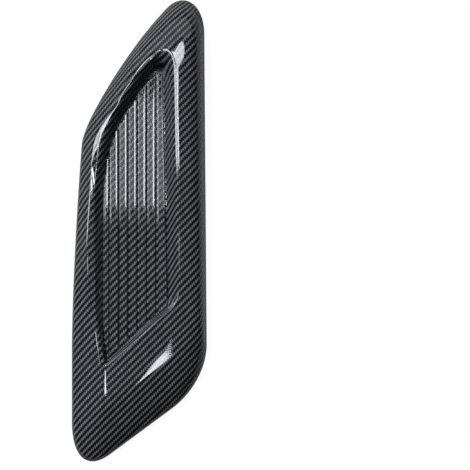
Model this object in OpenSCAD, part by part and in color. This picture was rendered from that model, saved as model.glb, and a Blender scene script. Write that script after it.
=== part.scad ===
// Stick-on bonnet scoop: one thin moulded shell with a slatted recess, open underneath.
// The frame: +Y runs to the narrow nose, +X to the long straight side, +Z up from the bonnet. The origin
// is the middle of the foot, so the scoop stands on z = 0.
// The form is a loft. Six closed guide lines run round the scoop, one inside the other: outline, lip,
// swell, crest, recess edge and floor edge. Each has the same seven corners, and at every station round
// the scoop a section with rounded bends joins the six lines. The underside is the same section set in
// by the wall.

/* [Outline] */
// Length over all, from nose to tail
scoop_l = 430; // [390:1:470]
// Width between the two long sides
scoop_w = 126; // [118:1:140]
// How far the long side leans in at the nose
nose_lean = 3; // [0:0.5:8]
// How far the nose's sharp corner would lie beyond its rounded tip
nose_over = 30.6; // [28:0.1:34]
// Height of the heel corner above the tail end
heel_rise = 73.5; // [60:0.5:85]
// How far the tail's sharp corner would lie beyond its rounded tip
tail_over = 19.7; // [17:0.1:23]
// How far the cheek corner lies in from the near side
cheek_in = 10; // [6:0.5:14]
// How far the cheek corner lies down from the nose
cheek_down = 124.5; // [112:0.5:136]
// How far the brow corner lies in from the near side
brow_in = 48; // [42:0.5:51]
// How far the brow corner lies down from the nose
brow_down = 52; // [47:0.5:54]

/* [Section] */
// Height of the steep lip round the edge
lip_h = 5; // [3:0.1:6.5]
// How far the lip leans in over its height
lip_in = 1.5; // [1:0.1:2.5]
// Height of the crown, at the tip of the recess
crown_h = 26; // [23:0.5:28]
// Thickness of the moulded wall
wall = 2.6; // [2:0.1:3.2]
// Width of the flat foot that the adhesive tape goes on
foot_w = 5; // [4:0.1:6]

/* [Top] */
// How far the far shoulder lies in from the long side
shoulder_in = 6.9; // [5:0.1:9]
// Width of the crown between the far shoulder and the recess
crown_w = 19.1; // [16:0.1:22]
// Width of the land between the near slope and the recess
land_w = 4.7; // [3.8:0.1:5.6]
// Depth of the skirt between the tail edge and the lower crest
skirt_w = 42; // [36:0.5:48]
// Depth of the ramp between the lower crest and the recess
ramp_w = 33.5; // [28:0.5:40]

/* [Recess] */
// Height of the flat recess floor
floor_h = 8; // [6:0.1:9.5]
// Width in plan of the wall on the near side of the recess
near_wall_w = 7; // [6:0.1:8.5]
// Width in plan of the wall on the far side of the recess
far_wall_w = 6.9; // [5.5:0.1:8.5]
// Width in plan of the wall at the nose end of the recess
nose_wall_w = 14.8; // [12:0.1:18]
// Width in plan of the step at the tail end of the recess
step_w = 2.8; // [2:0.1:3.6]

/* [Slats] */
// Distance from one slat to the next
slat_pitch = 8.7; // [7.5:0.1:10]
// Width of the groove between two slats
groove_w = 1.9; // [1.4:0.1:2.6]
// Height of a slat above the floor, at its high edge
slat_h = 1.8; // [1.3:0.1:2.2]
// Height of a slat above the floor, at its low edge
slat_low_h = 0.9; // [0.6:0.1:1.2]
// Gap between the slats and the walls beside them
slat_side_gap = 1; // [0.8:0.1:2]
// Gap between the slats' ends and the edge of the floor
slat_end_gap = 2.8; // [2:0.1:4]
// Radius of the slats' top edges
slat_round = 0.8; // [0.5:0.05:0.9]

/* [Hidden] */
half_l = scoop_l / 2;
half_w = scoop_w / 2;
shell_colour = [0.07, 0.08, 0.09];

// Number of steps round each corner, and along each side to the next corner. Corners run clockwise
// from above: nose, heel, tail, flank, hip, cheek, brow
corner_steps = [14, 10, 12, 3, 4, 7, 6];
side_steps = [8, 6, 3, 2, 3, 3, 2];

// Steps across each bend of the section: lip, swell, crest, recess edge
skin_bends = [3, 3, 5, 5];
back_bends = [2, 4, 3];

// How far the flank corner lies up from the tail, and the hip corner down from the nose
flank_rise = 91;
hip_down = 258;

// Outline corners, sharp
outline_xy = [
    [half_w - nose_lean, half_l + nose_over],
    [half_w, heel_rise - half_l],
    [-half_w, -half_l - tail_over],
    [-half_w, flank_rise - half_l],
    [-half_w, half_l - hip_down],
    [cheek_in - half_w, half_l - cheek_down],
    [brow_in - half_w, half_l - brow_down]
];
// Crest corners, and how far each lies from its outline corner
crest_xy = outline_xy + [
    [-shoulder_in - 1.6, -5.5 - nose_over],
    [-shoulder_in, skirt_w],
    [30, skirt_w + tail_over + 7.5],
    [19.8, 40],
    [13.4, -3.3],
    [10.7, -9.6],
    [15.2, 0.4]
];
// Recess corners, and how far each lies from its crest corner
recess_xy = crest_xy + [
    [-crown_w - 0.7, -44.7],
    [-crown_w, ramp_w],
    [1.7, ramp_w + 6.6],
    [land_w - 1.9, 4],
    [land_w + 4.1, 22.6],
    [land_w - 4.5, -0.3],
    [land_w + 6.3, 0.4]
];
// Floor corners, and how far each lies from its recess corner
floor_xy = recess_xy + [
    [-far_wall_w - 2.5, -nose_wall_w],
    [-far_wall_w - 2.8, -step_w - 0.9],
    [1.1, step_w + 1.9],
    [near_wall_w + 0.1, -8.2],
    [near_wall_w - 0.2, 7.7],
    [near_wall_w + 3.7, 1.5],
    [near_wall_w - 5.6, -nose_wall_w - 1]
];

// Heights of the crest and of the recess edge at their corners, as drops from the crown
crest_z = [for (drop = [1.5, 7.5, 9, 12, 13.5, 12, 7.5]) crown_h - drop];
recess_z = [for (drop = [0, 5.5, 11.2, 12, 12, 10, 5]) crown_h - drop];

// Share of the way from lip to crest at which the side swells most, in plan and in height
swell_plan = [0.33, 0.3, 0.24, 0.4, 0.44, 0.44, 0.4];
swell_rise = 0.48;

// Reach of the section's bends at each corner of the lip, swell, crest and recess edge
lip_soft = [2, 2, 2, 2, 2, 2, 2];
swell_soft = [12, 6, 8, 4, 4, 4, 6];
crest_soft = [18, 9, 7, 5, 4.5, 4.5, 6];
recess_soft = [1.6, 6, 1.4, 1.4, 1.4, 1.4, 1.6];

// Reach of each corner's rounding before it and after it, and how far the round pulls to the corner
outline_round = [
    [53, 62, 0.46],
    [36, 40.5, 0.6],
    [45, 57.5, 0.6],
    [8, 8, 0.6],
    [95, 112, 0.6],
    [10, 22, 0.6],
    [58, 50, 0.6]
];
crest_round = [
    [37, 37, 0.55],
    [28, 28, 0.6],
    [5, 5, 0.6],
    [9, 9, 0.6],
    [25, 30, 0.6],
    [19, 18, 0.6],
    [18, 18, 0.6]
];
recess_round = [
    [9.9, 20, 0.6],
    [13, 13, 0.6],
    [3, 3, 0.6],
    [20, 20, 0.6],
    [20, 20, 0.6],
    [66, 43, 0.6],
    [37, 14, 0.6]
];
floor_round = [
    [11.7, 7.4, 0.6],
    [5, 5, 0.6],
    [2.5, 2.5, 0.6],
    [8, 8, 0.6],
    [16, 16, 0.6],
    [46, 33, 0.6],
    [17, 5, 0.6]
];

function mix(a, b, t) = a + (b - a) * t;
function in_plan(p) = [p.x, p.y];
function place(p) = [p.x, p.y, p.z];
function wrap(i, count) = (i + count) % count;

function cubic(a, b, c, d, t) =
    a * pow(1 - t, 3) + b * 3 * t * pow(1 - t, 2) + c * 3 * t * t * (1 - t) + d * pow(t, 3);
function quadratic(a, b, c, t) = a * pow(1 - t, 2) + b * 2 * t * (1 - t) + c * t * t;

// Corners joined with a height and a bend reach each
function guide(corners, heights, softs) =
    [for (k = [0:len(corners) - 1]) [corners[k].x, corners[k].y, heights[k], softs[k]]];

// Sharp corners set in by a distance, square to both sides that meet there
function side_normal(a, b) = let(along = (b - a) / norm(b - a)) [along.y, -along.x];
function set_in(corners, by) =
    let(count = len(corners))
    [for (k = [0:count - 1])
        let(before = side_normal(corners[wrap(k - 1, count)], corners[k]),
            after = side_normal(corners[k], corners[wrap(k + 1, count)]))
        corners[k] + (before + after) * by / (1 + before * after)];

// How much the rounding of a side's two corners has to shrink to fit on the side
function side_fit(guides, rounds, k) =
    let(next = wrap(k + 1, len(guides)), side = norm(in_plan(guides[next] - guides[k])))
    min(1, 0.97 * side / (rounds[k][1] + rounds[next][0])) / side;

// A closed guide line through rounded corners, with the same stations on every line
function ring(guides, rounds) =
    let(count = len(guides))
    [for (k = [0:count - 1])
        let(last = wrap(k - 1, count),
            next = wrap(k + 1, count),
            after_next = wrap(k + 2, count),
            p = mix(guides[k], guides[last], rounds[k][0] * side_fit(guides, rounds, last)),
            q = mix(guides[k], guides[next], rounds[k][1] * side_fit(guides, rounds, k)),
            far = mix(guides[next], guides[k], rounds[next][0] * side_fit(guides, rounds, k)),
            steps = corner_steps[k])
        each concat(
            [for (i = [0:steps])
                cubic(p, mix(p, guides[k], rounds[k][2]), mix(q, guides[k], rounds[k][2]), q, i / steps)],
            [for (i = [1:1:side_steps[k]]) mix(q, far, i / (side_steps[k] + 1))])];

// A bend of the section at v, between a and b
function bend(a, v, b, steps) =
    let(p = mix(v, a, min(0.48, v[3] / norm(place(a - v)))),
        q = mix(v, b, min(0.48, v[3] / norm(place(b - v)))))
    [for (i = [0:steps]) place(quadratic(p, v, q, i / steps))];

// A section through its guide points, with a bend at each one between the ends
function section(points, bends) =
    concat(
        [place(points[0])],
        [for (k = [1:len(points) - 2]) each bend(points[k - 1], points[k], points[k + 1], bends[k - 1])],
        [place(points[len(points) - 1])]);

// The upward normal of a step of the section, in its own upright plane
function up_normal(a, b) =
    let(step = place(b - a), run = norm(in_plan(step)), length = norm(step))
    [-step.x * step.z / run, -step.y * step.z / run, run] / length;

// A guide point set back by the wall, square to the section before it and after it
function set_back(a, v, b) =
    let(before = up_normal(a, v), after = up_normal(v, b), shift = (before + after) * wall / (1 + before * after))
    [v.x - shift.x, v.y - shift.y, v.z - shift.z, v[3]];

// The six guide lines
no_heights = [for (corner = outline_xy) 0];
lip_xy = set_in(outline_xy, lip_in);
swell_xy = [for (k = [0:6]) mix(lip_xy[k], crest_xy[k], swell_plan[k])];
swell_z = [for (k = [0:6]) mix(lip_h, crest_z[k], swell_rise)];
swell_round = [for (k = [0:6]) mix(outline_round[k], crest_round[k], swell_plan[k])];
outline_ring = ring(guide(outline_xy, no_heights, no_heights), outline_round);
lip_ring = ring(guide(lip_xy, [for (corner = lip_xy) lip_h], lip_soft), outline_round);
swell_ring = ring(guide(swell_xy, swell_z, swell_soft), swell_round);
crest_ring = ring(guide(crest_xy, crest_z, crest_soft), crest_round);
recess_ring = ring(guide(recess_xy, recess_z, recess_soft), recess_round);
floor_ring = ring(guide(floor_xy, [for (corner = floor_xy) floor_h], no_heights), floor_round);
foot_ring = ring(guide(set_in(outline_xy, foot_w), no_heights, no_heights), outline_round);
stations = len(outline_ring);

// Half way between the ends of a list of numbers
function middle(values) = (min(values) + max(values)) / 2;
foot_mid = [middle([for (p = outline_ring) p.x]), middle([for (p = outline_ring) p.y])];

function skin_section(i) =
    section([outline_ring[i], lip_ring[i], swell_ring[i], crest_ring[i], recess_ring[i], floor_ring[i]],
        skin_bends);

// A point on the floor, in from its edge, that closes the last bend of the underside
floor_mid = [floor_xy[4].x / 2 + floor_xy[1].x / 2, 0];
function floor_inner(p) = [floor_mid.x, p.y, floor_h, 0];
function back_section(i) =
    section([
        foot_ring[i],
        set_back(lip_ring[i], swell_ring[i], crest_ring[i]),
        set_back(swell_ring[i], crest_ring[i], recess_ring[i]),
        set_back(crest_ring[i], recess_ring[i], floor_ring[i]),
        set_back(recess_ring[i], floor_ring[i], floor_inner(floor_ring[i]))],
        back_bends);

// Closed skin over sections that run round the scoop, each from the foot's outer edge over the top and
// back along the underside
module loft_shell() {
    skin = [for (i = [0:stations - 1]) skin_section(i)];
    back = [for (i = [0:stations - 1]) back_section(i)];
    skin_rows = len(skin[0]);
    back_rows = len(back[0]);
    rows = skin_rows + back_rows;
    points = [for (i = [0:stations - 1]) each concat(skin[i], back[i])];
    function at(i, row) = wrap(i, stations) * rows + row;
    top_faces = [for (i = [0:stations - 1], row = [0:skin_rows - 2])
        each [
            [at(i, row), at(i + 1, row + 1), at(i, row + 1)],
            [at(i, row), at(i + 1, row), at(i + 1, row + 1)]]];
    back_faces = [for (i = [0:stations - 1], row = [skin_rows:rows - 2])
        each [
            [at(i, row), at(i, row + 1), at(i + 1, row + 1)],
            [at(i, row), at(i + 1, row + 1), at(i + 1, row)]]];
    foot_faces = [for (i = [0:stations - 1])
        each [
            [at(i, 0), at(i + 1, skin_rows), at(i + 1, 0)],
            [at(i, 0), at(i, skin_rows), at(i + 1, skin_rows)]]];
    floor_top = [[for (i = [0:stations - 1]) at(i, skin_rows - 1)]];
    floor_under = [[for (i = [stations - 1:-1:0]) at(i, rows - 1)]];
    polyhedron(points, concat(top_faces, back_faces, foot_faces, floor_top, floor_under), convexity = 6);
}

// Where the line at x crosses the edge of the floor
function floor_crossings(x) =
    [for (i = [0:stations - 1])
        let(a = floor_ring[i], b = floor_ring[wrap(i + 1, stations)])
        if ((a.x - x) * (b.x - x) <= 0 && a.x != b.x) mix(a.y, b.y, (x - a.x) / (b.x - a.x))];

// The slats fill the floor between its near edge and its far edge, with the grooves in its middle
near_x = max([for (k = [3, 4]) floor_xy[k].x]) + slat_side_gap;
far_x = floor_xy[0].x - slat_side_gap;
far_lean = floor_xy[1].x - floor_xy[0].x;
groove_count = floor((far_x - near_x) / slat_pitch);
first_groove_x = (near_x + far_x - (groove_count - 1) * slat_pitch) / 2;
slat_sink = 0.6;
slat_corner_steps = 3;
slat_round_steps = 2;
slat_corner = 1.8;

// A slat's outline, set in from its edge, with its ends along the edge of the floor
function slat_outline(left, right, lean, edge_in) =
    let(west = left + edge_in,
        east = right - edge_in,
        end_gap = slat_end_gap + edge_in,
        corners = [
            [west, max(floor_crossings(left)) - end_gap],
            [east, max(floor_crossings(right)) - end_gap],
            [east + lean, min(floor_crossings(right)) + end_gap],
            [west, min(floor_crossings(left)) + end_gap]],
        reach = slat_corner - edge_in * 0.6)
    [for (k = [0:3])
        let(before = corners[wrap(k - 1, 4)], after = corners[wrap(k + 1, 4)], v = corners[k],
            p = mix(v, before, reach / norm(before - v)),
            q = mix(v, after, reach / norm(after - v)))
        for (i = [0:slat_corner_steps]) quadratic(p, v, q, i / slat_corner_steps)];

// A slat's levels over its rounded top edge: how far in, and which share of its height
slat_levels = [for (i = [0:slat_round_steps])
    let(turn = 90 * i / slat_round_steps)
    [slat_round * (1 - cos(turn)), 1 - slat_round * (1 - sin(turn)) / slat_h]];

// A slat's top rises from its left edge to its right edge, and its foot is sunk into the floor
module slat(left, right, lean) {
    function height(x) = mix(slat_low_h, slat_h, (x - left) / (right + lean - left));
    outlines = concat(
        [[for (p = slat_outline(left, right, lean, 0)) [p.x, p.y, floor_h - slat_sink]]],
        [for (level = slat_levels)
            [for (p = slat_outline(left, right, lean, level[0]))
                [p.x, p.y, floor_h + height(p.x) * level[1]]]]);
    count = len(outlines[0]);
    levels = len(outlines);
    side_faces = [for (level = [0:levels - 2], i = [0:count - 1])
        let(a = level * count + i, b = level * count + wrap(i + 1, count))
        each [[a, b + count, a + count], [a, b, b + count]]];
    bottom = [[for (i = [count - 1:-1:0]) i]];
    top = [[for (i = [0:count - 1]) (levels - 1) * count + i]];
    polyhedron([for (outline = outlines) each outline], concat(side_faces, bottom, top));
}

// One slat on each side of every groove, and the last one follows the floor's far edge
module slats() {
    for (k = [0:groove_count]) {
        groove_x = first_groove_x + k * slat_pitch;
        left = k == 0 ? near_x : groove_x - slat_pitch + groove_w / 2;
        right = k == groove_count ? far_x : groove_x - groove_w / 2;
        slat(left, right, k == groove_count ? far_lean : 0);
    }
}

module scoop_shell() {
    color(shell_colour) translate([-foot_mid.x, -foot_mid.y, 0]) union() {
        loft_shell();
        slats();
    }
}

scoop_shell();
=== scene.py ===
import math
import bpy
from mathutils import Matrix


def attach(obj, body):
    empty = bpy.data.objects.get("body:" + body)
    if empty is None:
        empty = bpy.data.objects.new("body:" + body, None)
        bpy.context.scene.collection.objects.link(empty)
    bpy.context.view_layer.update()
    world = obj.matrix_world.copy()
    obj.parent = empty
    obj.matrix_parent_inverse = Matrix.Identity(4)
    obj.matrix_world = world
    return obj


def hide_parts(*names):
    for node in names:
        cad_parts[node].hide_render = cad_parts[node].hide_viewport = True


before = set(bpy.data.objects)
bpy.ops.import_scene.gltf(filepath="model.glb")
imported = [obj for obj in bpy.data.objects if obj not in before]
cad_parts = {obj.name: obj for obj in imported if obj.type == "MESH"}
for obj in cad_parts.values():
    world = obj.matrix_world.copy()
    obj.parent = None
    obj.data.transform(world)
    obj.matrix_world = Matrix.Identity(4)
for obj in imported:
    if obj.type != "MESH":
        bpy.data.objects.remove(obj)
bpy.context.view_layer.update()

from types import SimpleNamespace

import bpy
import numpy as np
from bpy.props import FloatProperty, FloatVectorProperty, PointerProperty
from bpy.types import Operator, Panel, PropertyGroup
from mathutils import Vector

bl_info = {
    "name": "Bonnet scoop",
    "version": (1, 0, 0),
    "blender": (4, 5, 0),
    "location": "3D View > Sidebar > Bonnet scoop",
    "description": "Builds a stick-on bonnet scoop with a slatted recess, its carbon twill and its studio",
    "category": "Add Mesh",
}

MM = 0.001
SHELL_NODE = "scoop_shell"
SHELL_PIECE = "shell_moulding"
BODY = "root"

# Steps round each corner and along each side of a guide line. Corners run clockwise from above:
# nose, heel, tail, flank, hip, cheek, brow
CORNER_STEPS = (44, 36, 40, 12, 30, 40, 34)
SIDE_STEPS = (40, 26, 12, 16, 16, 16, 10)

# Steps across the bends of the section (lip, swell, crest, recess edge), and along the straight
# parts between them
BEND_STEPS = (5, 8, 12, 10)
STRAIGHT_STEPS = (2, 3, 6, 6, 5)
BACK_BEND_STEPS = (4, 6, 5)
BACK_STRAIGHT_STEPS = (2, 3, 3, 3)

# The row of the outside that lies level on the land round the recess, where the weave starts
LAND_ROW = sum(BEND_STEPS[:3]) + sum(STRAIGHT_STEPS[:3]) + 3

# Sharp corners of the outline on the short, slanted side: the flank up from the tail end, and the
# hip, cheek and brow in from that side and down from the nose end
FLANK_UP = 91
HIP_DOWN = 258
CHEEK_IN, CHEEK_DOWN = 10, 124.5
BROW_IN, BROW_DOWN = 48, 52

# From each sharp corner of the outline to the crest's (lengthwise from the scoop's end at the nose and
# the tail), from there to the recess edge's, and from there to the floor's
CREST_FROM_OUTLINE = np.array((
    (-8.5, -5.5), (-6.9, 42), (30, 49.5), (19.8, 40), (12.4, -3.3), (9.7, -9.2), (14.4, 0.9)))
RECESS_FROM_CREST = np.array((
    (-19.8, -44.7), (-19.1, 33.5), (1.7, 40.1), (2.8, 4), (9.8, 22.6), (1.2, -0.7), (11.8, -0.1)))
FLOOR_FROM_RECESS = np.array((
    (-9.4, -14.8), (-9.7, -3.7), (1.1, 4.7), (7.1, -8.2), (6.8, 7.7), (10.7, 1.5), (1.4, -15.8)))

# Share of the way from lip to crest at which the side swells most, in plan and in height
SWELL_PLAN = np.array((0.33, 0.3, 0.24, 0.4, 0.44, 0.44, 0.4))
SWELL_RISE = 0.48

# Reach of the section's bends at each corner, and the share of a stretch that a bend may take
LIP_SOFT = np.full(7, 2.0)
SWELL_SOFT = np.array((12, 6, 8, 4, 4, 4, 6.0))
CREST_SOFT = np.array((18, 11, 9, 4.5, 4.2, 3.6, 4.5))
RECESS_SOFT = np.array((6.3, 1.2, 1.6, 2.4, 4, 5, 5))
BEND_SHARE = 0.48

# Drops from the crown to the crest and to the recess edge at each corner
CREST_DROP = np.array((1.5, 7.5, 9, 12, 11, 10.2, 7.5))
RECESS_DROP = np.array((0, 5.5, 11.2, 12, 11, 10.9, 5))

# Reach of each corner's rounding before and after it, and its pull to the corner
OUTLINE_ROUND = np.array((
    (53, 62, 0.46), (36, 40.5, 0.6), (45, 57.5, 0.6), (8, 8, 0.6), (95, 112, 0.6), (10, 22, 0.6),
    (58, 50, 0.6)))
CREST_ROUND = np.array((
    (37, 37, 0.55), (28, 28, 0.6), (5, 5, 0.6), (9, 9, 0.6), (25, 30, 0.6), (19, 18, 0.6), (18, 18, 0.6)))
RECESS_ROUND = np.array((
    (9.9, 20, 0.6), (13, 13, 0.6), (3, 3, 0.6), (20, 20, 0.6), (20, 20, 0.6), (66, 43, 0.6), (37, 14, 0.6)))
FLOOR_ROUND = np.array((
    (11.7, 7.4, 0.6), (5, 5, 0.6), (2.5, 2.5, 0.6), (8, 8, 0.6), (16, 16, 0.6), (46, 33, 0.6), (17, 5, 0.6)))

# The share of a side that the roundings at its two ends may take together
ROUND_SHARE = 0.97

# How far the slats sink into the floor, the reach of their corners, and the steps of their outline
SLAT_SINK = 0.6
SLAT_CORNER = 1.8
SLAT_CORNER_STEPS = 6
SLAT_SIDE_STEPS = (3, 50, 3, 50)

# The hollow fillet at a slat's foot: how far out from its side, and how high, in millimetres
SLAT_FILLET = ((0.93, -0.15), (0.75, -0.02), (0.5, 0.08), (0.25, 0.2), (0.08, 0.33))

# Rings of points over a slat's rounded edge and then over its top: shares of the edge's radius, and of
# half the slat's width
SLAT_EDGE_RINGS = (0, 0.06, 0.2, 0.42, 0.7, 1)
SLAT_TOP_RINGS = (0.22, 0.3, 0.38, 0.46, 0.55, 0.65, 0.78, 0.93)


def length_prop(name, description, default, low, high):
    """A length that the sidebar shows, given here in millimetres."""
    return FloatProperty(
        name=name, description=description, default=default * MM, min=low * MM, max=high * MM,
        subtype="DISTANCE", unit="LENGTH", precision=4)


class ScoopSizes(PropertyGroup):
    length: length_prop("Length", "From nose to tail", 430, 390, 470)
    width: length_prop("Width", "Between the two long sides", 126, 114, 140)
    nose_lean: length_prop("Nose lean", "How far the long side leans in at the nose", 3, 0, 8)
    nose_over: length_prop("Nose over", "How far the nose's sharp corner lies beyond its tip", 30.6, 28, 34)
    heel_rise: length_prop("Heel rise", "Height of the heel corner above the tail end", 73.5, 60, 85)
    tail_over: length_prop("Tail over", "How far the tail's sharp corner lies beyond its tip", 19.7, 17, 23)
    lip_height: length_prop("Lip height", "Height of the steep lip round the edge", 5, 3, 6.5)
    lip_in: length_prop("Lip lean", "How far the lip leans in over its height", 1.5, 1, 2.5)
    crown_height: length_prop("Crown height", "Height at the tip of the recess", 26, 23, 30)
    wall: length_prop("Wall", "Thickness of the moulded wall", 2.6, 2, 3.2)
    foot: length_prop("Foot", "Width of the flat foot that the tape goes on", 5, 4, 6)
    floor: length_prop("Floor", "Height of the flat recess floor", 8, 6, 9.5)


class SlatSizes(PropertyGroup):
    pitch: length_prop("Pitch", "Distance from one slat to the next", 8.7, 7.5, 10)
    groove: length_prop("Groove", "Width of the groove between two slats", 1.9, 1.4, 2.6)
    height: length_prop("Height", "Height of a slat above the floor, at its high edge", 1.8, 1.3, 2.2)
    low_height: length_prop("Low height", "Height of a slat above the floor, at its low edge", 0.9, 0.6, 1.2)
    side_gap: length_prop("Side gap", "Gap between the slats and the walls beside them", 1, 0.8, 2)
    end_gap: length_prop("End gap", "Gap between the slats' ends and the edge of the floor", 2.8, 2, 4)
    rounding: length_prop("Rounding", "Radius of the slats' top edges", 0.8, 0.3, 0.9)
    ridge_in: length_prop("Ridge in", "How far a slat's top line lies in from its high edge", 1.1, 0.5, 1.5)
    ridge_radius: length_prop("Ridge radius", "Radius of the soft ridge along a slat's high edge", 12, 3, 16)


class TwillFinish(PropertyGroup):
    tow: length_prop("Tow width", "Width of one tow of the weave", 1.68, 1, 3)
    pale: FloatVectorProperty(
        name="Pale tow", description="Colour of the tows that run lengthwise", subtype="COLOR",
        default=(0.134, 0.145, 0.165), min=0, max=1)
    dark: FloatVectorProperty(
        name="Dark tow", description="Colour of the tows that run across", subtype="COLOR",
        default=(0.003, 0.0035, 0.0045), min=0, max=1)
    plastic: FloatVectorProperty(
        name="Bare plastic", description="Colour of the black moulding underneath", subtype="COLOR",
        default=(0.012, 0.012, 0.013), min=0, max=1)
    relief: FloatProperty(
        name="Relief", description="Strength of the weave's relief under the clear coat",
        default=0.25, min=0, max=1)


class StudioSetup(PropertyGroup):
    camera_height: length_prop("Camera height", "Height of the camera above the floor", 4000, 1000, 8000)
    view_width: length_prop("View width", "Width of the floor that the picture shows", 438, 200, 900)
    view_x: length_prop("View middle x", "Middle of the picture, to the right of the scoop", 89.2, -200, 200)
    view_y: length_prop("View middle y", "Middle of the picture, up from the scoop", -3.9, -200, 200)
    shadow: FloatProperty(
        name="Shadow", description="How much of the floor's shade shows", default=0.05, min=0, max=1)


def in_mm(group):
    """The lengths of a property group as plain millimetres."""
    names = [name for name in group.__annotations__ if isinstance(getattr(group, name), float)]
    return SimpleNamespace(**{name: getattr(group, name) / MM for name in names})


def mix(a, b, t):
    """The value a share t of the way from a to b."""
    return a + (b - a) * t


def unit(vectors):
    """Vectors of length one."""
    return vectors / np.linalg.norm(vectors, axis=-1, keepdims=True)


# Guide lines


def side_normals(corners):
    """The inward normal of the side that leaves each corner."""
    along = unit(np.roll(corners, -1, 0) - corners)
    return np.stack((along[:, 1], -along[:, 0]), 1)


def set_in(corners, by):
    """Sharp corners set in by a distance, square to both sides that meet there."""
    after = side_normals(corners)
    before = np.roll(after, 1, 0)
    return corners + (before + after) * by / (1 + np.sum(before * after, 1, keepdims=True))


def corner_tables(size):
    """The sharp corners of the outline, crest, recess edge and floor edge, in millimetres."""
    half_l, half_w = size.length / 2, size.width / 2
    outline = np.array((
        (half_w - size.nose_lean, half_l + size.nose_over),
        (half_w, size.heel_rise - half_l),
        (-half_w, -half_l - size.tail_over),
        (-half_w, FLANK_UP - half_l),
        (-half_w, half_l - HIP_DOWN),
        (CHEEK_IN - half_w, half_l - CHEEK_DOWN),
        (BROW_IN - half_w, half_l - BROW_DOWN)))
    crest = outline + CREST_FROM_OUTLINE
    crest[0, 1] -= size.nose_over
    crest[2, 1] += size.tail_over
    recess = crest + RECESS_FROM_CREST
    floor = recess + FLOOR_FROM_RECESS
    return outline, crest, recess, floor


def guide(corners, heights, softs):
    """Corners joined with a height and a bend reach each."""
    return np.column_stack((corners, np.broadcast_to(heights, 7), np.broadcast_to(softs, 7)))


def closed_line(corners, rounds):
    """A closed guide line through rounded corners, with the same stations on every line."""
    sides = np.linalg.norm((np.roll(corners, -1, 0) - corners)[:, :2], axis=1)
    reaches = rounds[:, 1] + np.roll(rounds[:, 0], -1)
    fits = np.minimum(1, ROUND_SHARE * sides / reaches) / sides
    parts = []
    for k, corner in enumerate(corners):
        before, after = corners[k - 1], corners[(k + 1) % 7]
        start = mix(corner, before, rounds[k, 0] * fits[k - 1])
        end = mix(corner, after, rounds[k, 1] * fits[k])
        far = mix(after, corner, rounds[(k + 1) % 7, 0] * fits[k])
        pull = rounds[k, 2]
        t = np.linspace(0, 1, CORNER_STEPS[k] + 1)[:, None]
        parts.append(
            start * (1 - t) ** 3 + mix(start, corner, pull) * 3 * t * (1 - t) ** 2
            + mix(end, corner, pull) * 3 * t * t * (1 - t) + end * t ** 3)
        parts.append(mix(end, far, np.linspace(0, 1, SIDE_STEPS[k] + 2)[1:-1, None]))
    return np.vstack(parts)


def guide_lines(size):
    """The guide lines of the loft, by name, and the floor's sharp corners."""
    outline, crest, recess, floor = corner_tables(size)
    lip = set_in(outline, size.lip_in)
    crest_z = size.crown_height - CREST_DROP
    recess_z = size.crown_height - RECESS_DROP
    swell = mix(lip, crest, SWELL_PLAN[:, None])
    swell_z = mix(size.lip_height, crest_z, SWELL_RISE)
    swell_round = mix(OUTLINE_ROUND, CREST_ROUND, SWELL_PLAN[:, None])
    return SimpleNamespace(
        outline=closed_line(guide(outline, 0, 0), OUTLINE_ROUND),
        lip=closed_line(guide(lip, size.lip_height, LIP_SOFT), OUTLINE_ROUND),
        swell=closed_line(guide(swell, swell_z, SWELL_SOFT), swell_round),
        crest=closed_line(guide(crest, crest_z, CREST_SOFT), CREST_ROUND),
        recess=closed_line(guide(recess, recess_z, RECESS_SOFT), RECESS_ROUND),
        floor=closed_line(guide(floor, size.floor, 0), FLOOR_ROUND),
        foot=closed_line(guide(set_in(outline, size.foot), 0, 0), OUTLINE_ROUND),
        floor_corners=floor)


def foot_middle(lines):
    """Half way between the ends and the sides of the foot."""
    plan = lines.outline[:, :2]
    return (plan.min(0) + plan.max(0)) / 2


# Sections


def bend_rows(a, v, b, steps):
    """The rows of a bend at v, between a and b."""
    reach_a = np.minimum(BEND_SHARE, v[:, 3] / np.linalg.norm((a - v)[:, :3], axis=1))[:, None]
    reach_b = np.minimum(BEND_SHARE, v[:, 3] / np.linalg.norm((b - v)[:, :3], axis=1))[:, None]
    start, end = mix(v, a, reach_a)[:, :3], mix(v, b, reach_b)[:, :3]
    return [
        start * (1 - t) ** 2 + v[:, :3] * 2 * t * (1 - t) + end * t * t
        for t in np.linspace(0, 1, steps + 1)]


def section_rows(lines, bend_steps, straight_steps):
    """Rows of points round the scoop, from the first guide line to the last, with a bend at each between."""
    stops = [[lines[0][:, :3]]]
    for k in range(1, len(lines) - 1):
        stops.append(bend_rows(lines[k - 1], lines[k], lines[k + 1], bend_steps[k - 1]))
    stops.append([lines[-1][:, :3]])
    rows = list(stops[0])
    for k in range(1, len(stops)):
        last = rows[-1]
        for t in np.linspace(0, 1, straight_steps[k - 1] + 1)[1:-1]:
            rows.append(mix(last, stops[k][0], t))
        rows.extend(stops[k])
    return np.array(rows)


def up_normals(a, b):
    """The upward normal of a step of the section, in its own upright plane."""
    step = (b - a)[:, :3]
    run = np.linalg.norm(step[:, :2], axis=1)
    normal = np.stack((-step[:, 0] * step[:, 2] / run, -step[:, 1] * step[:, 2] / run, run), 1)
    return normal / np.linalg.norm(step, axis=1, keepdims=True)


def set_back(a, v, b, wall):
    """A guide line set back by the wall, square to the section before it and after it."""
    before, after = up_normals(a, v), up_normals(v, b)
    shift = (before + after) * wall / (1 + np.sum(before * after, 1, keepdims=True))
    return np.column_stack((v[:, :3] - shift, v[:, 3]))


def skin_rows(lines):
    """The outside, from the foot's edge over the crest and down to the recess floor."""
    return section_rows(
        [lines.outline, lines.lip, lines.swell, lines.crest, lines.recess, lines.floor],
        BEND_STEPS, STRAIGHT_STEPS)


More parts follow.
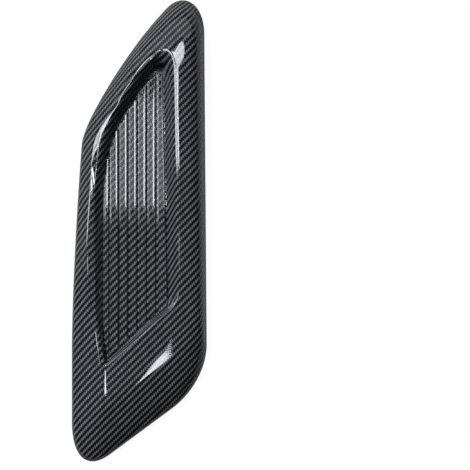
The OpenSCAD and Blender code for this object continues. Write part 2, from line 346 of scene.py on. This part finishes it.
def back_rows(size, lines):
    """The underside, a wall's thickness behind the outside, from the flat foot in to the floor."""
    middle = (lines.floor_corners[4, 0] + lines.floor_corners[1, 0]) / 2
    inner = lines.floor.copy()
    inner[:, 0] = middle
    return section_rows(
        [
            lines.foot,
            set_back(lines.lip, lines.swell, lines.crest, size.wall),
            set_back(lines.swell, lines.crest, lines.recess, size.wall),
            set_back(lines.crest, lines.recess, lines.floor, size.wall),
            set_back(lines.recess, lines.floor, inner, size.wall),
        ],
        BACK_BEND_STEPS, BACK_STRAIGHT_STEPS)


# Weave coordinates: the plan position, stretched along each slope so that the pattern keeps its size


def row_normals(rows):
    """The outward normal at each point of the rows."""
    across = np.gradient(rows, axis=0)
    along = np.roll(rows, -1, 1) - np.roll(rows, 1, 1)
    return unit(np.cross(across, along))


def weave_places(rows, level_row):
    """Places in the weave for each point, walked both ways from a row that lies level."""
    normals = row_normals(rows)
    places = np.empty(rows.shape[:2] + (2,))
    places[level_row] = rows[level_row, :, :2]
    for way, stop in ((-1, -1), (1, len(rows))):
        for row in range(level_row + way, stop, way):
            step = (rows[row] - rows[row - way])[:, :2]
            normal = unit(normals[row] + normals[row - way])
            flat = normal[:, :2]
            tilt = np.linalg.norm(flat, axis=1, keepdims=True)
            slope_way = flat / np.maximum(tilt, 1e-6)
            stretch = 1 / np.maximum(np.abs(normal[:, 2:]), 0.2) - 1
            down = np.sum(step * slope_way, 1, keepdims=True)
            places[row] = places[row - way] + step + slope_way * down * stretch
    return places


# Mesh making


class MeshParts:
    """Gathers points, faces, weave places and finishes for one mesh."""

    def __init__(self):
        self.points, self.places, self.faces, self.finishes, self.sharp = [], [], [], [], set()
        self.count = 0

    def add_points(self, points, places):
        start = self.count
        self.points.append(points)
        self.places.append(places)
        self.count += len(points)
        return start

    def add_faces(self, faces, finish):
        self.faces.extend(faces)
        self.finishes.extend([finish] * len(faces))

    def mark_sharp(self, loop):
        self.sharp.update(
            tuple(sorted((loop[i - 1], loop[i]))) for i in range(len(loop)))

    def make(self, name, finishes):
        mesh = bpy.data.meshes.new(name)
        mesh.from_pydata((np.vstack(self.points) * MM).tolist(), [], self.faces)
        mesh.polygons.foreach_set("material_index", self.finishes)
        mesh.shade_smooth()
        places = np.vstack(self.places)
        loops = np.empty(len(mesh.loops), dtype=np.int32)
        mesh.loops.foreach_get("vertex_index", loops)
        weave = mesh.uv_layers.new(name="weave")
        weave.uv.foreach_set("vector", places[loops].astype(np.float32).ravel())
        for edge in mesh.edges:
            if tuple(sorted(edge.vertices)) in self.sharp:
                edge.use_edge_sharp = True
        for finish in finishes:
            mesh.materials.append(finish)
        piece = bpy.data.objects.new(name, mesh)
        bpy.context.scene.collection.objects.link(piece)
        return piece


def band_faces(start, rows, stations, flip=False):
    """Quads between rows of points that close round the scoop."""
    faces = []
    for row in range(rows - 1):
        for i in range(stations):
            j = (i + 1) % stations
            a, b = start + row * stations, start + (row + 1) * stations
            face = (a + i, b + i, b + j, a + j)
            faces.append(face[::-1] if flip else face)
    return faces


def loop_of(start, row, stations):
    """The point numbers of one row."""
    return [start + row * stations + i for i in range(stations)]


# Slats


def crossings(line, x):
    """Where the upright line at x crosses a closed line."""
    a, b = line[:, :2], np.roll(line[:, :2], -1, 0)
    hit = ((a[:, 0] - x) * (b[:, 0] - x) <= 0) & (a[:, 0] != b[:, 0])
    a, b = a[hit], b[hit]
    return mix(a[:, 1], b[:, 1], (x - a[:, 0]) / (b[:, 0] - a[:, 0]))


def slat_spans(slat, floor):
    """Left edge, right edge and lean of each slat's right edge: the slats fill the floor."""
    near = max(floor[3, 0], floor[4, 0]) + slat.side_gap
    far = floor[0, 0] - slat.side_gap
    grooves = math.floor((far - near) / slat.pitch)
    first = (near + far - (grooves - 1) * slat.pitch) / 2
    spans = []
    for k in range(grooves + 1):
        left = near if k == 0 else first + (k - 1) * slat.pitch + slat.groove / 2
        right = far if k == grooves else first + k * slat.pitch - slat.groove / 2
        spans.append((left, right, floor[1, 0] - floor[0, 0] if k == grooves else 0))
    return spans


def slat_outline(slat, lines, span, edge_in):
    """A slat's outline, set in from its edge, with its ends along the edge of the floor."""
    left, right, lean = span
    end_gap = slat.end_gap + edge_in
    low, high = crossings(lines.floor, left), crossings(lines.floor, right)
    west, east = left + edge_in, right - edge_in
    corners = np.array((
        (west, low.max() - end_gap), (east, high.max() - end_gap),
        (east + lean, high.min() + end_gap), (west, low.min() + end_gap)))
    reach = SLAT_CORNER * (1 - 2 * edge_in / (right - left))
    points = []
    for k, corner in enumerate(corners):
        start = corner + unit(corners[k - 1] - corner) * reach
        end = corner + unit(corners[(k + 1) % 4] - corner) * reach
        for t in np.linspace(0, 1, SLAT_CORNER_STEPS + 1):
            points.append(start * (1 - t) ** 2 + corner * 2 * t * (1 - t) + end * t * t)
        far = corners[(k + 1) % 4] + unit(corner - corners[(k + 1) % 4]) * reach
        points.extend(mix(end, far, t) for t in np.linspace(0, 1, SLAT_SIDE_STEPS[k] + 1)[1:-1])
    return np.array(points)


def slat_height(slat, span, x):
    """Height of a slat's top at x: up to a soft ridge along its right edge, and evenly in the last slat."""
    left, right, lean = span
    slope = (slat.height - slat.low_height) / (slat.pitch - slat.groove)
    height = slat.low_height + slope * (x - left)
    if lean:
        return height
    past = np.maximum(0, x - (right - slat.ridge_in - slope * slat.ridge_radius))
    return height - past ** 2 / (2 * slat.ridge_radius)


def edge_drop(rounding, edge_in):
    """How far the rounded edge lies below the top, at a distance in from the side."""
    return rounding - math.sqrt(rounding ** 2 - max(0, rounding - edge_in) ** 2)


def slat_rows(size, slat, lines, span):
    """Rings of points from a slat's sunk foot up over its rounded edge and in over its top."""
    half = (span[1] - span[0]) / 2
    rows = []
    for out, height in ((SLAT_FILLET[0][0], -SLAT_SINK), *SLAT_FILLET):
        plan = slat_outline(slat, lines, span, -out)
        rows.append(np.column_stack((plan, np.full(len(plan), size.floor + height))))
    edge_rings = [share * slat.rounding for share in SLAT_EDGE_RINGS]
    top_rings = [share * half for share in SLAT_TOP_RINGS]
    for edge_in in edge_rings + top_rings:
        plan = slat_outline(slat, lines, span, edge_in)
        top = slat_height(slat, span, plan[:, 0]) - edge_drop(slat.rounding, edge_in)
        rows.append(np.column_stack((plan, size.floor + top)))
    return np.array(rows)


def add_slat(parts, size, slat, lines, span):
    """One raised slat, its underside sunk into the floor."""
    rows = slat_rows(size, slat, lines, span)
    stations = rows.shape[1]
    places = weave_places(rows, len(rows) - 1)
    start = parts.add_points(rows.reshape(-1, 3), places.reshape(-1, 2))
    parts.add_faces(band_faces(start, len(rows), stations), 0)
    parts.add_faces([loop_of(start, len(rows) - 1, stations)[::-1], loop_of(start, 0, stations)], 0)
    parts.mark_sharp(loop_of(start, 0, stations))


# Finishes


class Nodes:
    """Short ways to place nodes in one material."""

    def __init__(self, material):
        material.use_nodes = True
        self.tree = material.node_tree
        self.tree.nodes.clear()

    def add(self, kind, **settings):
        node = self.tree.nodes.new(kind)
        for name, value in settings.items():
            setattr(node, name, value)
        return node

    def feed(self, socket, value):
        if isinstance(value, bpy.types.NodeSocket):
            self.tree.links.new(value, socket)
        else:
            socket.default_value = value

    def math(self, operation, *values, clamp=False):
        node = self.add("ShaderNodeMath", operation=operation, use_clamp=clamp)
        for socket, value in zip(node.inputs, values):
            self.feed(socket, value)
        return node.outputs[0]

    def colour_mix(self, factor, a, b, blend="MIX"):
        node = self.add("ShaderNodeMix", data_type="RGBA", blend_type=blend)
        for name, value in (("Factor_Float", factor), ("A_Color", a), ("B_Color", b)):
            socket = next(s for s in node.inputs if s.identifier == name)
            self.feed(socket, value)
        return next(s for s in node.outputs if s.identifier == "Result_Color")

    def map_range(self, value, low, high, to_low=0.0, to_high=1.0, smooth=False):
        node = self.add(
            "ShaderNodeMapRange", clamp=True, interpolation_type="SMOOTHSTEP" if smooth else "LINEAR")
        names = ("Value", "From Min", "From Max", "To Min", "To Max")
        for name, given in zip(names, (value, low, high, to_low, to_high)):
            self.feed(node.inputs[name], given)
        return node.outputs[0]


def rgba(colour):
    """A colour with its alpha, as sockets take it."""
    return (*colour, 1.0)


def float_crown(nodes, across, along):
    """The rounded profile of one tow where it lies on top: 1 in its middle, 0 at its edges and ends. It
    shapes the relief, and the painted shade of the pale tows.
    """
    side = nodes.math("SUBTRACT", nodes.math("MULTIPLY", across, 2.0), 1.0)
    side = nodes.math("SUBTRACT", 1.0, nodes.math("POWER", nodes.math("ABSOLUTE", side), 2.6), clamp=True)
    end = nodes.math("SUBTRACT", nodes.math("MULTIPLY", along, 2.0), 1.0)
    end = nodes.math("SUBTRACT", 1.0, nodes.math("POWER", nodes.math("ABSOLUTE", end), 3.2), clamp=True)
    return nodes.math("MULTIPLY", side, end)


def twill_material(finish, tow):
    """Glossy clear coat over a two-by-two twill: pale tows run lengthwise, dark ones across, and each pale
    tow carries painted shade that darkens it towards its edges and ends.
    """
    material = bpy.data.materials.new("carbon_twill_gloss")
    nodes = Nodes(material)
    weave = nodes.add("ShaderNodeUVMap", uv_map="weave")
    split = nodes.add("ShaderNodeSeparateXYZ")
    nodes.feed(split.inputs[0], weave.outputs[0])
    u = nodes.math("DIVIDE", split.outputs[0], tow)
    v = nodes.math("DIVIDE", split.outputs[1], tow)
    column, row = nodes.math("FLOOR", u), nodes.math("FLOOR", v)

    # A lengthwise tow lies on top for two rows in four, one row further up in each next column
    up_float = nodes.math("FLOORED_MODULO", nodes.math("SUBTRACT", v, column), 4.0)
    on_top = nodes.math("LESS_THAN", up_float, 2.0)
    side_float = nodes.math(
        "FLOORED_MODULO", nodes.math("SUBTRACT", nodes.math("SUBTRACT", u, row), 1.0), 4.0)
    pale_crown = float_crown(nodes, nodes.math("FRACT", u), nodes.math("MULTIPLY", up_float, 0.5))
    dark_crown = float_crown(nodes, nodes.math("FRACT", v), nodes.math("MULTIPLY", side_float, 0.5))
    pale_crown = nodes.math("MULTIPLY", pale_crown, on_top)
    dark_crown = nodes.math("MULTIPLY", dark_crown, nodes.math("SUBTRACT", 1.0, on_top))

    # Fibres, finer across the tow than along it, and tows that differ a little
    stretch = nodes.add("ShaderNodeMapping")
    nodes.feed(stretch.inputs["Vector"], weave.outputs[0])
    stretch.inputs["Scale"].default_value = (5.5, 0.7, 1.0)
    fibre = nodes.add("ShaderNodeTexNoise", noise_dimensions="2D")
    nodes.feed(fibre.inputs["Vector"], stretch.outputs[0])
    fibre.inputs["Scale"].default_value = 1.0
    fibre.inputs["Detail"].default_value = 1.0
    cell = nodes.add("ShaderNodeCombineXYZ")
    nodes.feed(cell.inputs[0], column)
    turns = nodes.math("DIVIDE", nodes.math("SUBTRACT", v, column), 4.0)
    nodes.feed(cell.inputs[1], nodes.math("FLOOR", turns))
    tone = nodes.add("ShaderNodeTexWhiteNoise", noise_dimensions="2D")
    nodes.feed(tone.inputs["Vector"], cell.outputs[0])
    shade = nodes.math(
        "MULTIPLY", nodes.map_range(fibre.outputs["Fac"], 0.25, 0.75, 0.75, 1.2),
        nodes.map_range(tone.outputs["Value"], 0.0, 1.0, 0.8, 1.15))

    # Painted shade: a pale tow's colour fades to the dark tow's towards its edges and ends, as its rounding
    # would shade it, times the fibres and the tow tones
    pale_with_painted_shade = nodes.math("MULTIPLY", nodes.math("POWER", pale_crown, 1.1), shade, clamp=True)
    colour = nodes.colour_mix(pale_with_painted_shade, rgba(finish.dark), rgba(finish.pale))

    relief = nodes.math("MAXIMUM", pale_crown, dark_crown)
    bump = nodes.add("ShaderNodeBump")
    bump.inputs["Strength"].default_value = finish.relief
    bump.inputs["Distance"].default_value = 0.00006
    nodes.feed(bump.inputs["Height"], relief)
    shader = nodes.add("ShaderNodeBsdfPrincipled")
    nodes.feed(shader.inputs["Base Color"], colour)
    nodes.feed(shader.inputs["Normal"], bump.outputs[0])
    shader.inputs["Roughness"].default_value = 0.5
    shader.inputs["Specular IOR Level"].default_value = 0.05
    shader.inputs["Coat Weight"].default_value = 1.0
    shader.inputs["Coat Roughness"].default_value = 0.03
    shader.inputs["Coat IOR"].default_value = 1.5
    coat_bump = nodes.add("ShaderNodeBump")
    coat_bump.inputs["Strength"].default_value = finish.relief
    coat_bump.inputs["Distance"].default_value = 0.000006
    nodes.feed(coat_bump.inputs["Height"], relief)
    nodes.feed(shader.inputs["Coat Normal"], coat_bump.outputs[0])
    output = nodes.add("ShaderNodeOutputMaterial")
    nodes.feed(output.inputs["Surface"], shader.outputs[0])
    return material


def plastic_material(finish):
    """Bare black moulding with a fine satin grain, as the underside is left."""
    material = bpy.data.materials.new("bare_black_plastic")
    nodes = Nodes(material)
    grain = nodes.add("ShaderNodeTexNoise")
    place = nodes.add("ShaderNodeTexCoord")
    nodes.feed(grain.inputs["Vector"], place.outputs["Object"])
    grain.inputs["Scale"].default_value = 1400.0
    grain.inputs["Detail"].default_value = 2.0
    flow = nodes.add("ShaderNodeTexNoise")
    nodes.feed(flow.inputs["Vector"], place.outputs["Object"])
    flow.inputs["Scale"].default_value = 14.0
    colour = nodes.colour_mix(
        nodes.map_range(flow.outputs["Fac"], 0.35, 0.65), rgba(finish.plastic),
        rgba([1.7 * part for part in finish.plastic]))
    bump = nodes.add("ShaderNodeBump")
    bump.inputs["Strength"].default_value = 0.25
    bump.inputs["Distance"].default_value = 0.00005
    nodes.feed(bump.inputs["Height"], grain.outputs["Fac"])
    shader = nodes.add("ShaderNodeBsdfPrincipled")
    nodes.feed(shader.inputs["Base Color"], colour)
    nodes.feed(shader.inputs["Normal"], bump.outputs[0])
    shader.inputs["Roughness"].default_value = 0.42
    output = nodes.add("ShaderNodeOutputMaterial")
    nodes.feed(output.inputs["Surface"], shader.outputs[0])
    return material


def finish_named(name, make):
    """The material of this name, made once."""
    return bpy.data.materials.get(name) or make()


def scoop_finishes(scene):
    """The coated twill of the outside and the bare plastic of the underside."""
    finish = scene.twill_finish
    return [
        finish_named("carbon_twill_gloss", lambda: twill_material(finish, finish.tow / MM)),
        finish_named("bare_black_plastic", lambda: plastic_material(finish)),
    ]


# Operators


class SCOOP_OT_shell(Operator):
    """Build the moulded shell: slopes, lip, crown and recess outside, hollow and foot underneath"""

    bl_idname = "scoop.shell"
    bl_label = "Build shell"

    def execute(self, context):
        size = in_mm(context.scene.scoop_sizes)
        lines = guide_lines(size)
        skin, back = skin_rows(lines), back_rows(size, lines)
        shift = np.array((*foot_middle(lines), 0))
        stations = skin.shape[1]
        parts = MeshParts()
        places = weave_places(skin, LAND_ROW)
        top = parts.add_points((skin - shift).reshape(-1, 3), places.reshape(-1, 2))
        parts.add_faces(band_faces(top, len(skin), stations), 0)
        floor_loop = loop_of(top, len(skin) - 1, stations)
        rim = parts.add_points(skin[-1] - shift, skin[-1][:, :2])
        parts.add_faces([loop_of(rim, 0, stations)[::-1]], 0)
        under = parts.add_points((back - shift).reshape(-1, 3), back[:, :, :2].reshape(-1, 2))
        parts.add_faces(band_faces(under, len(back), stations, flip=True), 1)
        parts.add_faces([loop_of(under, len(back) - 1, stations)], 1)
        foot_outer, foot_inner = loop_of(top, 0, stations), loop_of(under, 0, stations)
        parts.add_faces(
            [
                (foot_outer[i - 1], foot_outer[i], foot_inner[i], foot_inner[i - 1])
                for i in range(stations)
            ], 1)
        for loop in (foot_outer, foot_inner, floor_loop, loop_of(under, len(back) - 1, stations)):
            parts.mark_sharp(loop)
        shell = parts.make(SHELL_PIECE, scoop_finishes(context.scene))
        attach(shell, BODY)
        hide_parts(SHELL_NODE)
        return {"FINISHED"}


class SCOOP_OT_slats(Operator):
    """Build the raised slats on the recess floor"""

    bl_idname = "scoop.slats"
    bl_label = "Build slats"

    def execute(self, context):
        size = in_mm(context.scene.scoop_sizes)
        slat = in_mm(context.scene.slat_sizes)
        lines = guide_lines(size)
        shift = np.array((*foot_middle(lines), 0))
        parts = MeshParts()
        for span in slat_spans(slat, lines.floor_corners):
            add_slat(parts, size, slat, lines, span)
        parts.points = [points - shift for points in parts.points]
        slats = parts.make("recess_slats", scoop_finishes(context.scene)[:1])
        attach(slats, BODY)
        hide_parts(SHELL_NODE)
        return {"FINISHED"}


def backdrop_material(shade_share):
    """White to the camera, with a share of real shade, grey in reflections, and else plain paper."""
    material = bpy.data.materials.new("white_backdrop")
    nodes = Nodes(material)
    rays = nodes.add("ShaderNodeLightPath")
    seen = nodes.math("MAXIMUM", rays.outputs["Is Camera Ray"], rays.outputs["Is Transmission Ray"])
    paper = nodes.add("ShaderNodeBsdfDiffuse")
    paper.inputs["Color"].default_value = (0.95, 0.95, 0.95, 1.0)
    glow = nodes.add("ShaderNodeEmission")
    glow.inputs["Color"].default_value = (1.0, 1.0, 1.0, 1.0)
    blend = nodes.add("ShaderNodeMixShader")
    nodes.feed(blend.inputs[0], nodes.math("MULTIPLY", seen, 1.0 - shade_share))
    nodes.feed(blend.inputs[1], paper.outputs[0])
    nodes.feed(blend.inputs[2], glow.outputs[0])
    dim = nodes.add("ShaderNodeEmission")
    dim.inputs["Color"].default_value = (1.0, 1.0, 1.0, 1.0)
    dim.inputs["Strength"].default_value = 0.25
    mirrored = nodes.add("ShaderNodeMixShader")
    nodes.feed(mirrored.inputs[0], rays.outputs["Is Glossy Ray"])
    nodes.feed(mirrored.inputs[1], blend.outputs[0])
    nodes.feed(mirrored.inputs[2], dim.outputs[0])
    output = nodes.add("ShaderNodeOutputMaterial")
    nodes.feed(output.inputs["Surface"], mirrored.outputs[0])
    return material


def add_backdrop(shade_share):
    """A white floor that turns up into a low wall all round."""
    radius, wall, corner = 3.0, 0.02, 0.05
    profile = [(0.0, 0.0), (radius - corner, 0.0)]
    profile += [
        (radius - corner + corner * math.sin(t), corner - corner * math.cos(t))
        for t in np.radians(np.linspace(9, 90, 10))]
    profile.append((radius, corner + wall))
    stations = 96
    points = [(0.0, 0.0, 0.0)]
    for r, z in profile[1:]:
        points += [
            (r * math.cos(2 * math.pi * i / stations), r * math.sin(2 * math.pi * i / stations), z)
            for i in range(stations)]
    faces = [(0, 1 + i, 1 + (i + 1) % stations) for i in range(stations)]
    for ring in range(len(profile) - 2):
        a, b = 1 + ring * stations, 1 + (ring + 1) * stations
        faces += [(a + i, b + i, b + (i + 1) % stations, a + (i + 1) % stations) for i in range(stations)]
    mesh = bpy.data.meshes.new("studio_floor")
    mesh.from_pydata(points, [], faces)
    mesh.shade_smooth()
    mesh.materials.append(backdrop_material(shade_share))
    floor = bpy.data.objects.new("studio_floor", mesh)
    bpy.context.scene.collection.objects.link(floor)


def add_sun(name, way, strength, spread):
    """A light from one way, spread over some degrees, that leaves no mirror image in the clear coat."""
    lamp = bpy.data.lights.new(name, "SUN")
    lamp.energy = strength
    lamp.angle = math.radians(spread)
    piece = bpy.data.objects.new(name, lamp)
    piece.rotation_euler = (-Vector(way)).to_track_quat("-Z", "Y").to_euler()
    piece.visible_camera = False
    piece.visible_glossy = False
    bpy.context.scene.collection.objects.link(piece)


def add_panel(name, strength, corners):
    """A lit panel of any outline that lies level overhead, faces down and shows in the gloss only."""
    material = bpy.data.materials.new(name)
    nodes = Nodes(material)
    face = nodes.add("ShaderNodeNewGeometry")
    glow = nodes.add("ShaderNodeEmission")
    glow.inputs["Color"].default_value = rgba(PANEL_COLOUR)
    nodes.feed(glow.inputs["Strength"], nodes.math("MULTIPLY", face.outputs["Backfacing"], strength))
    output = nodes.add("ShaderNodeOutputMaterial")
    nodes.feed(output.inputs["Surface"], glow.outputs[0])
    mesh = bpy.data.meshes.new(name)
    mesh.from_pydata([(x, y, PANEL_HEIGHT) for x, y in corners], [], [tuple(range(len(corners)))])
    mesh.materials.append(material)
    if mesh.polygons[0].normal.z < 0:
        mesh.flip_normals()
    piece = bpy.data.objects.new(name, mesh)
    piece.visible_camera = False
    piece.visible_diffuse = False
    piece.visible_shadow = False
    bpy.context.scene.collection.objects.link(piece)
    return piece


def light_only(panel, pieces):
    """Let a panel light these pieces and no others."""
    lit = bpy.data.collections.new(panel.name + "_lights")
    for piece in pieces:
        lit.objects.link(piece)
    panel.light_linking.receiver_collection = lit


# Height in metres of the lit panels over the floor, and their slightly cool white
PANEL_HEIGHT = 1.0
PANEL_COLOUR = (0.9, 0.95, 1.0)

# Each panel's name, strength, and outline in metres. They leave a dark gap over the scoop's middle, so
# that level surfaces stay clear and the bends beside them catch the light
PANELS = (
    ("panel_right", 15.0, (
        (0.105, 0.086), (0.19, 0.112), (0.238, 0.136), (0.238, 0.165), (0.165, 0.27), (0.08, 0.345),
        (0.012, 0.345), (0.012, 0.15), (0.08, 0.135), (0.08, 0.065))),
    ("panel_edge", 45.0, ((0.012, 0.027), (0.06, 0.034), (0.08, 0.065), (0.08, 0.135), (0.012, 0.15))),
    ("panel_front", 20.0, ((-0.085, 0.19), (0.012, 0.19), (0.012, 0.345), (-0.2, 0.345), (-0.2, 0.25))),
    ("panel_left", 20.0, ((-0.25, 0.03), (-0.085, 0.03), (-0.085, 0.17), (-0.25, 0.15))),
    ("panel_left_dim", 2.0, ((-0.4, 0.03), (-0.25, 0.03), (-0.25, 0.15), (-0.4, 0.17))),
    ("panel_far_left", 14.0, ((-1.7, 0.015), (-0.4, 0.015), (-0.4, 0.25), (-1.7, 0.78))),
    ("panel_tail", 19.0, (
        (-0.008, -0.2), (0.01, -0.214), (0.058, -0.268), (0.112, -0.333), (0.108, -0.352), (0.084, -0.345),
        (0.066, -0.35), (0.054, -0.326), (0.041, -0.299), (0.023, -0.27), (0.007, -0.245), (-0.016, -0.208))),
    ("panel_nose", 0.8, ((-2.5, 1.0), (-0.8, 0.45), (0.4, 0.4), (1.2, 1.0), (1.2, 3.0), (-2.5, 3.0))),
)

# One more panel, which only the shell catches: the line down from the recess's low corner
CREASE_PANEL = ("panel_crease", 24.0, ((-0.178, -0.082), (-0.11, -0.082), (-0.11, -0.045), (-0.178, -0.045)))


class SCOOP_OT_stage(Operator):
    """Set the floor, the lamps and the camera that looks straight down"""

    bl_idname = "scoop.stage"
    bl_label = "Set stage"

    def execute(self, context):
        scene = context.scene
        studio = scene.studio_setup
        add_backdrop(studio.shadow)
        for name, strength, corners in PANELS:
            add_panel(name, strength, corners)
        light_only(add_panel(*CREASE_PANEL), [bpy.data.objects[SHELL_PIECE]])
        add_sun("key_light", way=(-0.4, 0.45, 0.6), strength=5.8, spread=20.0)
        world = bpy.data.worlds.new("dim_studio")
        scene.world = world
        world.use_nodes = True
        shade = world.node_tree.nodes["Background"]
        shade.inputs["Color"].default_value = (0.5, 0.52, 0.55, 1.0)
        shade.inputs["Strength"].default_value = 0.02
        view = bpy.data.cameras.new("straight_down")
        view.sensor_width = 36.0
        view.lens = view.sensor_width * studio.camera_height / studio.view_width
        view.clip_end = 20.0
        camera = bpy.data.objects.new("straight_down", view)
        camera.location = (studio.view_x, studio.view_y, studio.camera_height)
        scene.collection.objects.link(camera)
        scene.camera = camera
        scene.view_settings.view_transform = "Standard"
        return {"FINISHED"}


class SCOOP_PT_panel(Panel):
    """Sizes, finish and studio of the scoop, with a button for each step"""

    bl_idname = "SCOOP_PT_panel"
    bl_label = "Bonnet scoop"
    bl_space_type = "VIEW_3D"
    bl_region_type = "UI"
    bl_category = "Bonnet scoop"

    def draw(self, context):
        layout = self.layout
        scene = context.scene
        for title, group, steps in (
                ("Shell", scene.scoop_sizes, ("scoop.shell",)),
                ("Slats", scene.slat_sizes, ("scoop.slats",)),
                ("Finish", scene.twill_finish, ()),
                ("Studio", scene.studio_setup, ("scoop.stage",))):
            box = layout.box()
            box.label(text=title)
            for name in group.__annotations__:
                box.prop(group, name)
            for step in steps:
                box.operator(step)


GROUPS = {
    "scoop_sizes": ScoopSizes,
    "slat_sizes": SlatSizes,
    "twill_finish": TwillFinish,
    "studio_setup": StudioSetup,
}
CLASSES = (*GROUPS.values(), SCOOP_OT_shell, SCOOP_OT_slats, SCOOP_OT_stage, SCOOP_PT_panel)


def register():
    for kind in CLASSES:
        bpy.utils.register_class(kind)
    for name, kind in GROUPS.items():
        setattr(bpy.types.Scene, name, PointerProperty(type=kind))


def unregister():
    for name in GROUPS:
        delattr(bpy.types.Scene, name)
    for kind in reversed(CLASSES):
        bpy.utils.unregister_class(kind)


def main():
    register()
    bpy.ops.scoop.shell()
    bpy.ops.scoop.slats()
    bpy.ops.scoop.stage()
    bpy.context.view_layer.update()


if __name__ == "__main__":
    main()
